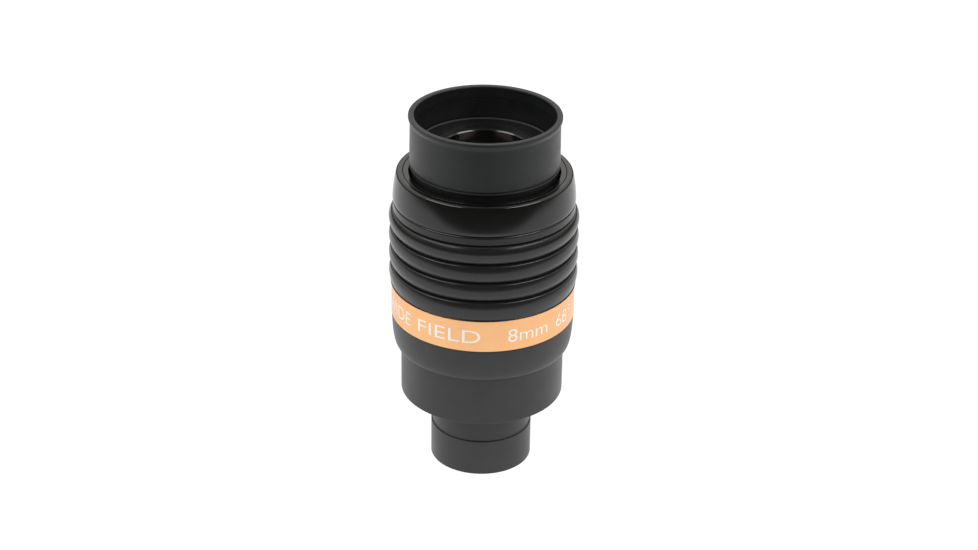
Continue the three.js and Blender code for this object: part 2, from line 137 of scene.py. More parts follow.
def thread_rows(radius, start, end, pitch):
    """Points along a threaded wall, close enough together for its teeth."""
    rows_per_turn = 8
    count = round(abs(end - start) / pitch * rows_per_turn)
    return [(radius, start + (end - start) * i / count) for i in range(count + 1)]


def thread_warp(radius, low, high, pitch, depth):
    """Cuts a right-hand thread into the wall at that radius. A negative depth cuts inwards."""
    def warp(r, z, angle):
        phase = (z / pitch - angle / (2 * math.pi)) % 1
        tooth = np.abs(2 * phase - 1)
        fade = np.clip((z - low) / pitch, 0, 1) * np.clip((high - z) / pitch, 0, 1)
        on_wall = (np.abs(r - radius) < 1e-6) & (z >= low) & (z <= high)
        return np.where(on_wall, r + depth * tooth * fade, r)
    return warp


def solid(name, points, faces):
    """A closed body from points in millimetres."""
    mesh = bpy.data.meshes.new(name)
    mesh.from_pydata([[c * MM for c in p] for p in points], [], faces)
    piece = bpy.data.objects.new(name, mesh)
    bpy.context.scene.collection.objects.link(piece)
    return piece


def cut(piece, cutters):
    """Takes the cutters away from a piece and removes them from the scene."""
    for cutter in cutters:
        modifier = piece.modifiers.new("cut", "BOOLEAN")
        modifier.operation = "DIFFERENCE"
        modifier.solver = "EXACT"
        modifier.object = cutter
    bpy.context.view_layer.update()
    mesh = bpy.data.meshes.new_from_object(piece.evaluated_get(bpy.context.evaluated_depsgraph_get()))
    piece.modifiers.clear()
    piece.data = mesh
    smooth_mesh(mesh, 30)
    for cutter in cutters:
        bpy.data.objects.remove(cutter)
    return piece


def place(piece, body, slot, material, *nodes):
    """Gives a piece its material and its body, and hides the CAD nodes that it stands for. The slot is not
    used.
    """
    piece.data.materials.clear()
    piece.data.materials.append(material)
    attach(piece, body)
    if nodes:
        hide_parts(*nodes)
    return piece


# ---------------------------------------------------------------- material helpers
class Look:
    """A Principled material and the small node networks that vary it."""

    def __init__(self, name, colour, roughness, metallic=0.0, specular=0.5):
        self.material = bpy.data.materials.new(name)
        self.material.use_nodes = True
        self.tree = self.material.node_tree
        self.bsdf = self.tree.nodes["Principled BSDF"]
        self.bsdf.inputs["Base Color"].default_value = (*colour, 1)
        self.bsdf.inputs["Roughness"].default_value = roughness
        self.bsdf.inputs["Metallic"].default_value = metallic
        self.bsdf.inputs["Specular IOR Level"].default_value = specular
        self.bump = None

    def node(self, kind, **inputs):
        made = self.tree.nodes.new(kind)
        for key, value in inputs.items():
            made.inputs[key].default_value = value
        return made

    def link(self, source, target):
        self.tree.links.new(source, target)

    def position(self):
        return self.node("ShaderNodeTexCoord").outputs["Object"]

    def turned_position(self):
        """(radius, nought, height), so that noise on it makes rings like a lathe tool's."""
        split = self.node("ShaderNodeSeparateXYZ")
        self.link(self.position(), split.inputs[0])
        squares = []
        for axis in ("X", "Y"):
            square = self.node("ShaderNodeMath")
            square.operation = "MULTIPLY"
            self.link(split.outputs[axis], square.inputs[0])
            self.link(split.outputs[axis], square.inputs[1])
            squares.append(square)
        total = self.node("ShaderNodeMath")
        total.operation = "ADD"
        self.link(squares[0].outputs[0], total.inputs[0])
        self.link(squares[1].outputs[0], total.inputs[1])
        root = self.node("ShaderNodeMath")
        root.operation = "SQRT"
        self.link(total.outputs[0], root.inputs[0])
        joined = self.node("ShaderNodeCombineXYZ")
        self.link(root.outputs[0], joined.inputs["X"])
        self.link(split.outputs["Z"], joined.inputs["Z"])
        return joined.outputs[0]

    def noise(self, scale, detail, position=None):
        made = self.node("ShaderNodeTexNoise", Scale=scale, Detail=detail)
        self.link(position or self.position(), made.inputs["Vector"])
        return made.outputs["Fac"]

    def add_bump(self, height, distance, strength):
        made = self.node("ShaderNodeBump", Distance=distance, Strength=strength)
        self.link(height, made.inputs["Height"])
        if self.bump:
            self.link(self.bump.outputs[0], made.inputs["Normal"])
        self.link(made.outputs[0], self.bsdf.inputs["Normal"])
        self.bump = made

    def vary(self, source, socket, low, high):
        """Drives a socket between two values, or two colours, from a noise."""
        spread = self.node("ShaderNodeMapRange")
        spread.inputs["From Min"].default_value = 0.3  # nearly all of a noise lies between these
        spread.inputs["From Max"].default_value = 0.7
        self.link(source, spread.inputs["Value"])
        if isinstance(low, tuple):
            mix = self.node("ShaderNodeMix")
            mix.data_type = "RGBA"
            colours = [s for s in mix.inputs if s.type == "RGBA"]
            colours[0].default_value = (*low, 1)
            colours[1].default_value = (*high, 1)
            self.link(spread.outputs[0], mix.inputs[0])
            self.link([s for s in mix.outputs if s.type == "RGBA"][0], self.bsdf.inputs[socket])
        else:
            spread.inputs["To Min"].default_value = low
            spread.inputs["To Max"].default_value = high
            self.link(spread.outputs[0], self.bsdf.inputs[socket])


def anodised(name, colour, roughness, specular=0.5):
    """Black anodised aluminium: fine blasted grain over faint turning marks."""
    look = Look(name, colour, roughness, specular=specular)
    lighter = tuple(c * 1.35 for c in colour)
    look.vary(look.noise(180, 4), "Base Color", colour, lighter)
    look.vary(look.noise(90, 5), "Roughness", roughness * 0.92, roughness * 1.1)
    look.add_bump(look.noise(2600, 3, look.turned_position()), 0.000008, 0.15)
    look.add_bump(look.noise(9000, 2), 0.000005, 0.2)
    return look.material


def rubber(name, colour, roughness, grain):
    """Moulded rubber: a fine grain and slightly uneven gloss."""
    look = Look(name, colour, roughness, specular=0.45)
    lighter = tuple(c * 1.3 for c in colour)
    look.vary(look.noise(120, 5), "Base Color", colour, lighter)
    look.vary(look.noise(300, 4), "Roughness", roughness * 0.92, roughness * 1.08)
    look.add_bump(look.noise(grain, 3), 0.00001, 0.45)
    return look.material


def copper_anodised():
    """Copper-coloured anodising with fine turning marks."""
    colour = (0.98, 0.545, 0.262)
    look = Look("copper_anodised", colour, 0.34, metallic=0.9, specular=0.5)
    look.vary(look.noise(60, 3), "Base Color", colour, (0.96, 0.53, 0.255))
    look.vary(look.noise(200, 4), "Roughness", 0.31, 0.38)
    look.add_bump(look.noise(5200, 3, look.turned_position()), 0.000008, 0.3)
    look.add_bump(look.noise(11000, 2), 0.000004, 0.3)
    return look.material


def coated_glass(name, tint):
    """Clear glass whose anti-reflection coating leaves a weak, tinted reflection."""
    look = Look(name, (0.97, 0.98, 0.97), 0.0, specular=0.06)
    look.bsdf.inputs["Transmission Weight"].default_value = 1.0
    look.bsdf.inputs["IOR"].default_value = 1.52
    look.bsdf.inputs["Specular Tint"].default_value = (*tint, 1)
    look.vary(look.noise(400, 2), "Roughness", 0.0, 0.012)
    return look.material


def engraved_metal():
    """Bare aluminium, where the lettering is cut through the anodising."""
    look = Look("engraved_aluminium", (0.96, 0.91, 0.85), 0.36, metallic=0.9, specular=0.5)
    look.vary(look.noise(900, 3), "Base Color", (0.94, 0.89, 0.83), (0.97, 0.93, 0.88))
    look.add_bump(look.noise(8000, 2), 0.000004, 0.3)
    return look.material


def black_oxide():
    """Steel screws, chemically blackened."""
    look = Look("black_oxide", (0.03, 0.03, 0.032), 0.38, metallic=0.9)
    look.vary(look.noise(500, 4), "Roughness", 0.3, 0.48)
    look.add_bump(look.noise(6000, 2), 0.000005, 0.4)
    return look.material


SATIN = anodised("satin_black_anodised", (0.020, 0.0205, 0.0215), 0.40)
GLOSS = anodised("gloss_black_anodised", (0.0045, 0.0044, 0.004), 0.17, specular=0.55)
MATTE = anodised("matte_black_anodised", (0.008, 0.008, 0.008), 0.27, specular=0.5)
GRIP_RUBBER = rubber("grip_rubber", (0.013, 0.0132, 0.0130), 0.25, 7000)
CUP_RUBBER = rubber("cup_rubber", (0.011, 0.0122, 0.0132), 0.40, 6000)
SLEEVE_BLACK = anodised("sleeve_black_anodised", (0.012, 0.012, 0.0122), 0.30, specular=0.4)
POLISHED = anodised("polished_black", (0.006, 0.006, 0.006), 0.14, specular=0.6)
NITRILE = rubber("nitrile", (0.012, 0.012, 0.012), 0.55, 5000)
COPPER = copper_anodised()
EYE_GLASS = coated_glass("eye_lens_glass", (1.0, 0.55, 0.40))
LENS_GLASS = coated_glass("lens_glass", (0.55, 0.95, 0.7))
ENGRAVED = engraved_metal()
OXIDE = black_oxide()


# ---------------------------------------------------------------- barrels
def nose_barrel():
    outer_r, bottom, top = span("nose_barrel")
    undercut_r = 15.45
    collar_top = 11.7
    seat = span("barrel_2in")[1] + 0.4
    spigot_r = 14.6
    filter_r = 14.25  # M28.5 filter thread
    filter_end = 5.2
    pitch = 0.6
    thread_low = 0.5
    thread_high = 4.9
    mouth = 0.3  # bevel that leads into the thread
    bore_r = 13.4
    ledge = 19.5
    ledge_r = 12.6
    outside = rounded([
        (filter_r + mouth, bottom),
        (outer_r, bottom, 0.18),
        (outer_r, collar_top, 0.08),
        (undercut_r, collar_top + 0.25, 0.1),
        (undercut_r, seat, 0.05),
        (spigot_r, seat),
        (spigot_r, top, 0.2),
        (ledge_r, top, 0.2),
        (ledge_r, ledge, 0.1),
        (bore_r, ledge),
        (bore_r, filter_end),
        (filter_r, filter_end),
    ])
    section = outside + thread_rows(filter_r, thread_high, thread_low, pitch) + [(filter_r, bottom + mouth)]
    warp = thread_warp(filter_r, thread_low, thread_high, pitch, depth=-0.3)
    piece = lathe("nose_barrel_turned", section, warp=warp)
    return place(piece, "housing", "satin_black", SATIN, "nose_barrel")


def barrel_2in():
    outer_r, bottom, _ = span("barrel_2in")
    shoulder = 40.1
    spigot_top = 46
    spigot_r = 24.7
    wall_r = 23.4
    floor_top = bottom + 3.7
    boss_r = 16.8
    nose_top = 31
    bore_r = 14.75
    seat = bottom + 0.5
    counterbore_r = 15.65
    section = rounded([
        (counterbore_r, bottom, 0.1),
        (outer_r, bottom, 0.22),
        (outer_r, shoulder, 0.08),
        (spigot_r, shoulder),
        (spigot_r, spigot_top, 0.2),
        (wall_r, spigot_top, 0.2),
        (wall_r, floor_top, 0.4),
        (boss_r, floor_top, 0.3),
        (boss_r, nose_top, 0.2),
        (bore_r, nose_top, 0.2),
        (bore_r, seat),
        (counterbore_r, seat),
    ])
    return place(lathe("barrel_2in_turned", section), "housing", "satin_black", SATIN, "barrel_2in")


# ---------------------------------------------------------------- housings
def lower_housing():
    """Its shoulder swells from the barrel in a tight corner and a long easy curve."""
    outer_r, bottom, top = span("lower_housing")
    barrel_r = span("barrel_2in")[0]
    shoulder_top = span("name_ring")[1] - 0.1
    neck_r = 26.4
    neck_bore = 25.4
    ledge = 53
    ledge_r = 23.8
    spigot_bore = 24.85
    spigot_end = 47.2
    height = shoulder_top - (bottom - 0.1)
    swell = outer_r - barrel_r
    tightness = 0.55  # below 1 the corner is tighter than an ellipse
    first = 0.19  # where the curve starts, in radians of the ellipse
    bunching = 1.3  # above 1 the points lie closer together in the tight corner
    steps = 40
    curve = []
    for i in range(steps + 1):
        t = first + (math.pi / 2 - first) * (i / steps) ** bunching
        curve.append((barrel_r + swell * math.sin(t) ** tightness, shoulder_top - height * math.cos(t)))
    lead = [(curve[0][0] - 0.35, bottom), (curve[0][0] - 0.12, bottom + 0.02)]
    curve[-1] = (outer_r - 0.06, shoulder_top)
    inside = rounded([
        (neck_r, shoulder_top),
        (neck_r, top, 0.2),
        (neck_bore, top, 0.2),
        (neck_bore, ledge),
        (ledge_r, ledge, 0.1),
        (ledge_r, spigot_end),
        (spigot_bore, spigot_end),
        (spigot_bore, bottom, 0.1),
    ])
    piece = lathe("lower_housing_turned", lead + curve + inside)
    return place(piece, "housing", "satin_black", SATIN, "lower_housing")


def upper_housing():
    """The spigot and wall under the rubber, the convex collar above it, and the eyecup's well."""
    outer_r, bottom, top = span("upper_housing")
    collar = span("grip_sleeve")[2] + 0.15
    spigot_r = 25.2
    wall_r = 26.45
    shoulder = 64.1
    ring_r = span("well_ring")[0] + 0.15
    ring_bottom = span("well_ring")[1] - 0.1
    well_floor = 69
    floor_bore = 19.4
    spigot_bore = 23.9
    arc_r = 44  # the collar's convex side
    arc_centre = 88.1
    arc_steps = 24
    inset = 0.02  # keeps the widest place inside the CAD box
    collar_low = collar + 0.9
    edge_low = top - 0.75

    def side(z):
        return outer_r - arc_r + math.sqrt(arc_r ** 2 - (z - arc_centre) ** 2) - inset

    heights = [collar_low + (edge_low - collar_low) * i / arc_steps for i in range(arc_steps + 1)]
    arc = [(side(z), z) for z in heights]

    lean = math.asin((edge_low - arc_centre) / arc_r)
    corner_r = (top - edge_low) / (1 - math.sin(lean))
    corner_steps = 12
    centre = (side(edge_low) - corner_r * math.cos(lean), top - corner_r)
    corner = []
    for i in range(1, corner_steps + 1):
        turn = lean + (math.pi / 2 - lean) * i / corner_steps
        corner.append((centre[0] + corner_r * math.cos(turn), centre[1] + corner_r * math.sin(turn)))

    side_low = arc[0][0]
    tuck, tuck_steps = 0.1, 8  # the collar curves in a little above its lower edge
    lower = [(spigot_bore, bottom), (spigot_r, bottom), (spigot_r, shoulder), (wall_r, shoulder),
             (wall_r, collar), (side_low - 0.35, collar)]
    for i in range(tuck_steps):
        share = i / tuck_steps
        lower.append((side_low - tuck * (1 - share) ** 2, collar + 0.1 + 0.8 * share))
    inside = rounded([
        (corner[-1][0] - 0.3, top),
        (ring_r, top, 0.12),
        (ring_r, ring_bottom),
        (WELL_R, ring_bottom, 0.1),
        (WELL_R, well_floor, 0.3),
        (floor_bore, well_floor, 0.1),
        (floor_bore, shoulder - 0.1),
        (spigot_bore, shoulder - 0.1),
    ])
    piece = lathe("upper_housing_turned", lower + arc + corner + inside)
    return place(piece, "housing", "gloss_black", GLOSS, "upper_housing")


def well_ring():
    outer_r, bottom, top = span("well_ring")
    section = rounded([
        (outer_r, bottom, 0.1), (outer_r, top, 0.12), (WELL_R, top, 0.15), (WELL_R, bottom, 0.1),
    ])
    return place(lathe("well_ring_turned", section), "housing", "gloss_black", GLOSS, "well_ring")


# ---------------------------------------------------------------- name ring and lettering
def name_ring():
    outer_r, bottom, top = span("name_ring")
    bore_r = 26.55
    section = rounded([
        (outer_r, bottom, 0.12), (outer_r, top, 0.12), (bore_r, top), (bore_r, bottom),
    ])
    return place(lathe("name_ring_turned", section), "housing", "copper", COPPER, "name_ring")


def flat_text(words, height):
    """Thin lettering in the XZ plane, as a mesh whose capitals have that height, from x = 0 on."""
    capital_share = 0.69  # height of the font's capitals as a share of its size
    curve = bpy.data.curves.new("lettering", "FONT")
    curve.body = words
    curve.size = height / capital_share
    curve.extrude = 0.02
    curve.offset = -0.035  # thins the strokes
    curve.resolution_u = 6
    holder = bpy.data.objects.new("lettering", curve)
    bpy.context.scene.collection.objects.link(holder)
    bpy.context.view_layer.update()
    mesh = bpy.data.meshes.new_from_object(holder.evaluated_get(bpy.context.evaluated_depsgraph_get()))
    bpy.data.objects.remove(holder)
    bpy.data.curves.remove(curve)
    return mesh


def bend_round_band(mesh, radius, bottom, first_degrees, last_degrees):
    """Cuts flat lettering into narrow strips and wraps it round the axis between two angles.

    Angles run from the front, -Y, towards +X.
    """
    work = bmesh.new()
    work.from_mesh(mesh)
    low = min(v.co.x for v in work.verts)
    high = max(v.co.x for v in work.verts)
    strips = 60
    for i in range(1, strips):
        x = low + (high - low) * i / strips
        whole = work.verts[:] + work.edges[:] + work.faces[:]
        bmesh.ops.bisect_plane(work, geom=whole, dist=1e-5, plane_co=(x, 0, 0), plane_no=(1, 0, 0))
    bmesh.ops.triangulate(work, faces=work.faces[:])
    for v in work.verts:
        share = (v.co.x - low) / (high - low)
        angle = math.radians(first_degrees + (last_degrees - first_degrees) * share)
        r = radius + v.co.z
        v.co = Vector((r * math.sin(angle), -r * math.cos(angle), bottom + v.co.y)) * MM
    bmesh.ops.remove_doubles(work, verts=work.verts[:], dist=1e-7)
    bmesh.ops.recalc_face_normals(work, faces=work.faces[:])
    work.to_mesh(mesh)
    work.free()


def lettering():
    outer_r, bottom, top = span("name_ring")
    capital = 4.3
    proud = 0.012
    baseline = (bottom + top) / 2 - capital / 2 - 0.1
    words = [("WIDE", -82, -50), ("FIELD", -43, -1), ("8mm", 16, 44), ("68°", 52, 69.5)]
    for index, (text, first, last) in enumerate(words):
        mesh = flat_text(text, capital)
        bend_round_band(mesh, outer_r + proud, baseline, first, last)
        piece = bpy.data.objects.new(f"marking_{index + 1}", mesh)
        bpy.context.scene.collection.objects.link(piece)
        place(piece, "housing", "marking_white", ENGRAVED)


# ---------------------------------------------------------------- rubber grip
GRIP_EDGE = 0.7  # rounding of the sleeve's top edge


def grip_outline():
    """The outside from bottom to top: rounded ribs, each with a narrow groove above it.

    k is the number of the groove above a point, from 0 for the lowest, and t is the distance
    down from that groove as a share of the pitch.
    """
    outer_r, bottom, top = span("grip_sleeve")
    base_r = 28.3
    band_r = 27.9  # plain band above the top groove
    band_taper = 0.06
    pitch = 6.1
    first_groove = 68.0
    ribs = 4
    crest = 0.42  # t of a rib's widest place
    upper_fall, top_rib_fall, lower_fall = 0.6, 1.1, 1.15
    upper_power, lower_power, base_power = 1.8, 2.1, 1.6
    base_end = 1.06  # t at which the lowest rib meets the name ring
    slit, slit_depth = 0.3, 0.7
    lip, lip_depth = 0.3, 0.16  # softened edge below each groove
    top_groove = first_groove + (ribs - 1) * pitch
    step = 0.08
    points = []
    for i in range(int((top - GRIP_EDGE - 0.1 - bottom) / step)):
        z = bottom + 0.1 + i * step
        k = math.ceil((z - first_groove) / pitch - 1e-9)
        t = (first_groove + k * pitch - z) / pitch
        if k >= ribs:
            r = band_r - band_taper * (z - top_groove) / (top - top_groove)
        elif t < crest:
            fall = top_rib_fall if k == ribs - 1 else upper_fall
            r = outer_r - fall * (1 - t / crest) ** upper_power
        elif k > 0:
            r = outer_r - lower_fall * ((t - crest) / (1 - crest)) ** lower_power
        else:
            r = outer_r - (outer_r - base_r) * min((t - crest) / (base_end - crest), 1) ** base_power
        groove = min((first_groove + n * pitch for n in range(ribs)), key=lambda g: abs(z - g))
        above = (z - groove) / slit
        if abs(above) < 1:
            r -= slit_depth * (1 - above ** 2)
        if -1 - lip / slit < above <= 0:
            r -= lip_depth * (1 - min(max(-above - 1, 0) * slit / lip, 1)) ** 2
        points.append((r, z))
    return points


def grip_sleeve():
    _, bottom, top = span("grip_sleeve")
    bore_r = 26.6
    outline = grip_outline()
    foot = [(outline[0][0] - 0.12, bottom)]
    centre = (outline[-1][0] - GRIP_EDGE, top - GRIP_EDGE)
    turns = [math.radians(90 * i / 8) for i in range(9)]
    head = [(centre[0] + GRIP_EDGE * math.cos(a), centre[1] + GRIP_EDGE * math.sin(a)) for a in turns]
    piece = lathe("grip_sleeve_moulded", foot + outline + head + [(bore_r, top), (bore_r, bottom)])
    return place(piece, "housing", "grip_rubber", GRIP_RUBBER, "grip_sleeve")


# ---------------------------------------------------------------- round the eye lens
def guide_tube():
    outer_r, bottom, top = span("guide_tube")
    spigot_r = 19.2
    spigot_top = 69.1
    stop_thread_r = 17.1
    face_thread_r = 17.15
    lens_bore_r = 15.6
    lens_top = 100.9
    ledge_r = 14.2
    ledge_low, ledge_high = 69.5, 71
    pitch = 0.75
    thread_low, thread_high = top - 6.5, top - 0.6
    lower = rounded([
        (stop_thread_r, bottom, 0.2),
        (spigot_r, bottom, 0.2),
        (spigot_r, spigot_top),
        (outer_r, spigot_top, 0.2),
        (outer_r, thread_low - 0.5),
    ])
    upper = rounded([
        (outer_r - 0.15, top),
        (face_thread_r, top),
        (face_thread_r, lens_top),
        (lens_bore_r, lens_top),
        (lens_bore_r, ledge_high),
        (ledge_r, ledge_high),
        (ledge_r, ledge_low),
        (stop_thread_r, ledge_low),
    ])
    section = lower + thread_rows(outer_r, thread_low, thread_high, pitch) + upper
    warp = thread_warp(outer_r, thread_low, thread_high, pitch, depth=-0.4)
    piece = lathe("guide_tube_threaded", section, warp=warp)
    return place(piece, "housing", "matte_black", MATTE, "guide_tube")


def face_ring():
    """A dished ring with a narrow raised rim."""
    outer_r, bottom, top = span("face_ring")
    spigot_r = 17
    flange_bottom = 105.3
    bore_r = 15.85
    rim_r, dish_r = 20.7, 20.25
    section = rounded([
        (spigot_r, bottom, 0.1),
        (spigot_r, flange_bottom),
        (outer_r, flange_bottom, 0.1),
        (outer_r, top, 0.1),
        (rim_r, top, 0.1),
        (dish_r, top - 0.32, 0.08),
        (bore_r, top - 0.35, 0.06),
        (bore_r, bottom, 0.1),
    ])
    return place(lathe("face_ring_turned", section), "housing", "matte_black", MATTE, "face_ring")


def eye_lens_retainer():
    """A bevelled ring, undercut inside so that its wall stays dark."""
    outer_r, bottom, top = span("eye_lens_retainer")
    bore_r = 13.3
    bevel_r = bore_r + 0.3
    undercut_r = bore_r + 0.5
    section = rounded([
        (outer_r, bottom, 0.1),
        (outer_r, top, 0.06),
        (bevel_r, top - 0.5, 0.1),
        (bore_r, top - 0.9, 0.06),
        (undercut_r, top - 1.15, 0.1),
        (undercut_r, bottom + 0.6, 0.1),
        (bore_r, bottom + 0.4, 0.06),
        (bore_r, bottom, 0.1),
    ])
    piece = lathe("eye_lens_retainer_turned", section)
    return place(piece, "housing", "matte_black", POLISHED, "eye_lens_retainer")


# ---------------------------------------------------------------- eyecup
def eyecup_rubber():
    """A thin skin over the sleeve that flares into a round lip above it."""
    lip_r, bottom, top = span("eyecup_rubber")
    sleeve_top = 113.1
    skin_bore = 22.3
    skin_low_r = 22.85
    skin_high_r = 22.69
    neck = top - 2.3
    flare_top = top - 0.8
    foot = 0.2
    steps = 16
    side = [(skin_low_r - 0.22, bottom), (skin_low_r - 0.06, bottom + 0.08)]
    for i in range(steps + 1):
        z = bottom + foot + (neck - bottom - foot) * i / steps
        side.append((skin_low_r + (skin_high_r - skin_low_r) * (z - bottom) / (neck - bottom), z))
    for i in range(1, steps + 1):
        share = i / steps
        eased = share * share * (3 - 2 * share)
        side.append((skin_high_r + (lip_r - skin_high_r) * eased, neck + (flare_top - neck) * share))
    lip = rounded([
        (lip_r, flare_top + 0.05),
        (lip_r - 0.03, top, 0.6),
        (CUP_BORE_R, top, 0.5),
        (CUP_BORE_R, sleeve_top),
        (skin_bore, sleeve_top),
        (skin_bore, bottom),
    ], steps=10)
    piece = lathe("eyecup_rubber_moulded", side + lip)
    return place(piece, "eyecup", "cup_rubber", CUP_RUBBER, "eyecup_rubber")


def cam_slot(index, radius):
    """The body of one helical cam slot: a bar with round ends, bent round the sleeve."""
    half_width = 1.1
    inner_r, outer_r = radius - 1.6, radius + 0.8
    travel, twist = 10, math.radians(120)
    low_z = 85.5
    start = math.radians(90 + 120 * index)
    steps = 96
    length = math.hypot(travel, twist * radius)
    rise, along = travel / length, twist * radius / length
    points = []
    for i in range(steps + 1):
        s = -half_width + (length + 2 * half_width) * (0.5 - 0.5 * math.cos(math.pi * i / steps))
        beyond = max(-s, s - length, 0) / half_width
        wide = max(half_width * math.sqrt(max(1 - beyond ** 2, 0)), 0.02)
        angle = start + twist * s / length
        z = low_z + travel * s / length
        for side, r in ((-1, inner_r), (1, inner_r), (1, outer_r), (-1, outer_r)):
            turn = angle - side * wide * rise / radius
            points.append((r * math.cos(turn), r * math.sin(turn), z + side * wide * along))
    faces = [(3, 2, 1, 0), tuple(4 * steps + k for k in range(4))]
    for i in range(steps):
        for k in range(4):
            n = (k + 1) % 4
            faces.append((4 * i + k, 4 * i + n, 4 * i + 4 + n, 4 * i + 4 + k))
    return solid("cam_slot_cutter", points, faces)


def eyecup_sleeve():
    flange_r, bottom, top = span("eyecup_sleeve")
    sleeve_r = 22.2
    groove_r = 21.75
    groove_low, groove_high = 82.4, 83.6
    flange_low, flange_high = 100.3, 101.0
    section = rounded([
        (sleeve_r, bottom, 0.15),
        (sleeve_r, groove_low),
        (groove_r, groove_low),
        (groove_r, groove_high),
        (sleeve_r, groove_high),
        (sleeve_r, flange_low),
        (flange_r, flange_low, 0.15),
        (flange_r, flange_high, 0.1),
        (sleeve_r, flange_high),
        (sleeve_r, top, 0.1),
        (CUP_BORE_R, top),
        (CUP_BORE_R, bottom, 0.15),
    ])
    piece = cut(lathe("eyecup_sleeve_turned", section), [cam_slot(i, sleeve_r) for i in range(3)])
    return place(piece, "eyecup", "satin_black", SLEEVE_BLACK, "eyecup_sleeve")


# ---------------------------------------------------------------- rings, tubes and seals inside
def tube(node, bore_r, slot="matte_black", material=MATTE, body="housing"):
    outer_r, bottom, top = span(node)
    edge = 0.1
    section = rounded([
        (outer_r, bottom, edge), (outer_r, top, edge), (bore_r, top, edge), (bore_r, bottom, edge),
    ])
    return place(lathe(node + "_turned", section, SMALL_SEGMENTS), body, slot, material, node)


def nose_retainer():
    """A ring with a pair of slots across it for a spanner."""
    outer_r, bottom, top = span("nose_retainer")
    bore_r = 11.3
    section = rounded([(outer_r, bottom, 0.1), (outer_r, top), (bore_r, top), (bore_r, bottom, 0.2)])
    ring = lathe("nose_retainer_turned", section, SMALL_SEGMENTS)
    reach, half, depth = 2 * outer_r, 0.75, 1
    outline = ((-reach, -half), (reach, -half), (reach, half), (-reach, half))
    corners = [(x, y, z) for z in (bottom - 1, bottom + depth) for x, y in outline]
    faces = [(3, 2, 1, 0), (4, 5, 6, 7), (0, 1, 5, 4), (1, 2, 6, 5), (2, 3, 7, 6), (3, 0, 4, 7)]
    box = solid("spanner_slot_cutter", corners, faces)
    return place(cut(ring, [box]), "housing", "matte_black", MATTE, "nose_retainer")


def field_stop():
    """A diaphragm that thins to an edge at its opening."""
    outer_r, bottom, top = span("field_stop")
    seat_r = 14
    opening_r = 9
    section = rounded([
        (outer_r, bottom, 0.1),
        (outer_r, top, 0.1),
        (seat_r, top, 0.2),
        (opening_r, bottom + 0.3),
        (opening_r, bottom),
    ])
    piece = lathe("field_stop_turned", section, SMALL_SEGMENTS)
    return place(piece, "housing", "matte_black", MATTE, "field_stop")


def o_ring(node):
    outer_r, bottom, top = span(node)
    cord = (top - bottom) / 2
    steps = 24
    section = [(outer_r - cord + cord * math.cos(a), bottom + cord + cord * math.sin(a))
               for a in (math.tau * i / steps for i in range(steps))]
    return place(lathe(node + "_moulded", section, SMALL_SEGMENTS), "housing", "nitrile", NITRILE, node)


# ---------------------------------------------------------------- lenses
def section_of(node):
    """The (radius, height) points of a turned CAD node's half section, in millimetres."""
    points = set()
    for v in frame["nodes"][node].data.vertices:
        if abs(v.co.y) < 2e-6 and v.co.x > -1e-7:
            points.add((round(v.co.x / MM, 3), round(v.co.z / MM, 3)))
    return sorted(points)


def surface(points, rim, count=24):
    """A spherical lens surface through its point on the axis and its point at the rim."""
    centre_z = points[0][1]
    sag = points[-1][1] - centre_z
    radii = [rim * i / count for i in range(count + 1)]
    if abs(sag) < 1e-3:
        return [(r, centre_z) for r in radii]
    ball = (rim ** 2 + sag ** 2) / (2 * abs(sag))
    return [(r, centre_z + math.copysign(ball - math.sqrt(ball ** 2 - r ** 2), sag)) for r in radii]


def lens(node, material, slot):
    """A ground lens: two surfaces through the CAD section's axis and rim points, and a bevelled edge."""
    points = section_of(node)
    rim = max(r for r, _ in points)
    edge = 0.12
    low = sorted(p for p in points if p[0] in (0, rim))
    under = surface([low[0], low[2]], rim)
    over = surface([low[1], low[3]], rim)
    section = under[:-1] + [(rim - edge, under[-1][1]), (rim, under[-1][1] + edge)]
    section += [(rim, over[-1][1] - edge), (rim - edge, over[-1][1])] + over[:-1][::-1]
    return place(lathe(node + "_ground", section, SMALL_SEGMENTS), "housing", slot, material, node)


# ---------------------------------------------------------------- studio
def camera():
    """The view from the front and above, with a slight roll."""
    distance, elevation, roll = 0.6966, math.radians(27.27), math.radians(0.95)
    target = Vector((0.00181, 0, 0.06263))
    forward = Vector((0, math.cos(elevation), -math.sin(elevation)))
    level_up = Vector((0, math.sin(elevation), math.cos(elevation)))
    right = Vector((1, 0, 0)) * math.cos(roll) + level_up * math.sin(roll)
    up = level_up * math.cos(roll) - Vector((1, 0, 0)) * math.sin(roll)
    data = bpy.data.cameras.new("camera")
    data.lens = 82.85
    data.sensor_width = 36
    data.clip_start = 0.01
    holder = bpy.data.objects.new("camera", data)
    bpy.context.scene.collection.objects.link(holder)
    turn = Matrix((right, up, -forward)).transposed().to_4x4()
    holder.matrix_world = Matrix.Translation(target - forward * distance) @ turn
    bpy.context.scene.camera = holder


def soft_box(name, location, width, height, radiance):
    """A rectangular light of a given radiance that faces the middle of the object."""
    target = (0, 0, 0.06)
    data = bpy.data.lights.new(name, "AREA")
    data.shape = "RECTANGLE"
    data.size = width
    data.size_y = height
    data.energy = radiance * math.pi * width * height
    holder = bpy.data.objects.new(name, data)
    bpy.context.scene.collection.objects.link(holder)
    holder.location = location
    holder.rotation_euler = (Vector(target) - Vector(location)).to_track_quat("-Z", "Y").to_euler()


def ramp(tree, source, low, high):
    """0 at low, 1 at high and smooth between them."""
    made = tree.nodes.new("ShaderNodeMapRange")
    made.interpolation_type = "SMOOTHSTEP"
    made.inputs["From Min"].default_value = low
    made.inputs["From Max"].default_value = high
    tree.links.new(source, made.inputs["Value"])
    return made.outputs[0]


